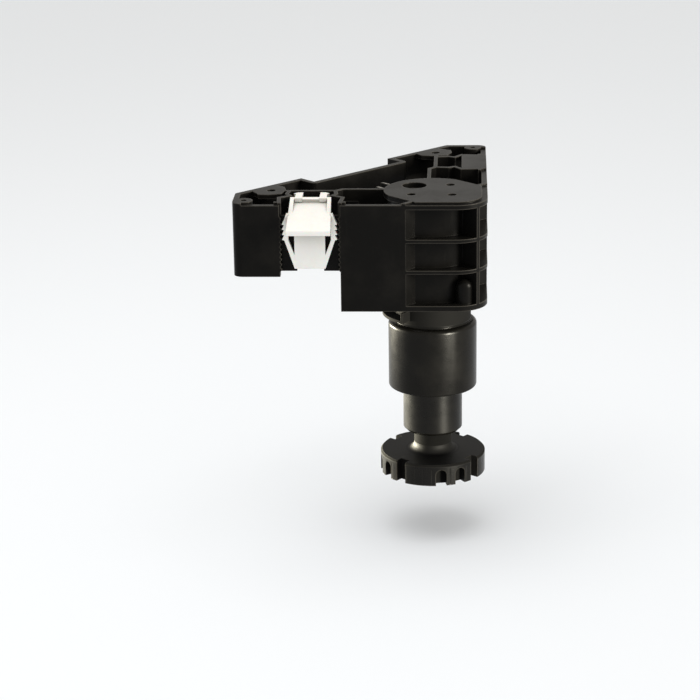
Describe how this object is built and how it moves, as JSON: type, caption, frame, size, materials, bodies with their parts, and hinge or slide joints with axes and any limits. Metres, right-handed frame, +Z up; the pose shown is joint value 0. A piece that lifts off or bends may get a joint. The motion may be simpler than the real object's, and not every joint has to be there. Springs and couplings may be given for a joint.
{
  "type": "folding corner levelling foot",
  "caption": "Triangular corner bracket with a folding leg, a telescoping castellated foot disc and a ratchet clip, fixed under a cabinet corner to carry and level it.",
  "frame": {"origin": "on the leg axis, in the plane of the housing's top, which goes against the cabinet", "axes": "+Z up towards the cabinet, -X along the arm that the leg folds into, +Y along the other arm"},
  "size_m": [0.1365, 0.1495, 0.1611],
  "materials": {
    "housing_plastic": "satin black glass-filled plastic",
    "leg_plastic": "satin black glass-filled plastic",
    "foot_plastic": "satin black glass-filled plastic",
    "pin_steel": "bright steel",
    "clip_plastic": "natural white nylon"
  },
  "bodies": {
    "housing": {"corner_housing": "housing_plastic", "pivot_pin": "pin_steel"},
    "leg": {"leg_socket": "leg_plastic"},
    "foot": {"adjusting_foot": "foot_plastic"},
    "clip": {"plinth_clip": "clip_plastic"}
  },
  "joints": [
    {"name": "leg_fold", "type": "hinge", "parent": "housing", "child": "leg", "pos_m": [0, 0, -0.032], "axis": [0, 1, 0], "range_deg": [0, 90]},
    {"name": "foot_height", "type": "slide", "parent": "leg", "child": "foot", "axis": [0, 0, -1], "range_m": [-0.005, 0.032]},
    {"name": "clip_height", "type": "slide", "parent": "housing", "child": "clip", "axis": [0, 0, -1], "range_m": [0, 0.0056]}
  ]
}
